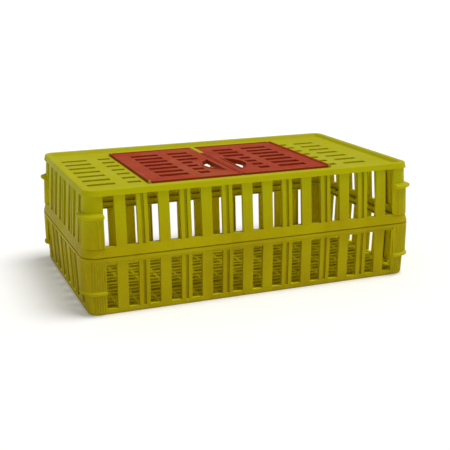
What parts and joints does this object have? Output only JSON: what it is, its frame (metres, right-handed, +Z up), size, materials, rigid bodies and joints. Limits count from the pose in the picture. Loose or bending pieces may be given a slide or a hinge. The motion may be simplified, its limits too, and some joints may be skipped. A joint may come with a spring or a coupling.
{
  "type": "poultry transport crate",
  "caption": "Low slatted crate for moving live poultry, with a grating floor, a stacking rim and two lift-up doors in its top.",
  "frame": {"origin": "middle of the crate's footprint, on the plane it stands on", "axes": "+X along the crate, from the left door to the right door; +Y towards its back, where the tongue between the doors is; +Z up"},
  "size_m": [0.79, 0.481, 0.27],
  "materials": {
    "shell": "yellow moulded polyethylene, satin, lightly scuffed",
    "door": "red moulded polyethylene, satin, lightly scuffed",
    "rod": "galvanised steel wire, dull",
    "peg": "yellow moulded polyethylene, satin"
  },
  "bodies": {
    "crate": {"lower_shell": "shell", "upper_shell": "shell", "left_hinge_rod": "rod", "right_hinge_rod": "rod", "belt_peg_01": "peg", "belt_peg_02": "peg", "belt_peg_03": "peg", "belt_peg_04": "peg", "belt_peg_05": "peg", "belt_peg_06": "peg", "belt_peg_07": "peg", "belt_peg_08": "peg", "belt_peg_09": "peg", "belt_peg_10": "peg", "belt_peg_11": "peg", "belt_peg_12": "peg", "belt_peg_13": "peg", "belt_peg_14": "peg", "belt_peg_15": "peg", "belt_peg_16": "peg"},
    "left_door": {"left_door": "door"},
    "right_door": {"right_door": "door"}
  },
  "joints": [
    {"name": "left_door_hinge", "type": "hinge", "parent": "crate", "child": "left_door", "pos_m": [-0.2291, -0.009, 0.2668], "axis": [0, -1, 0], "range_deg": [0, 175]},
    {"name": "right_door_hinge", "type": "hinge", "parent": "crate", "child": "right_door", "pos_m": [0.2011, -0.009, 0.2668], "axis": [0, 1, 0], "range_deg": [0, 175]}
  ]
}
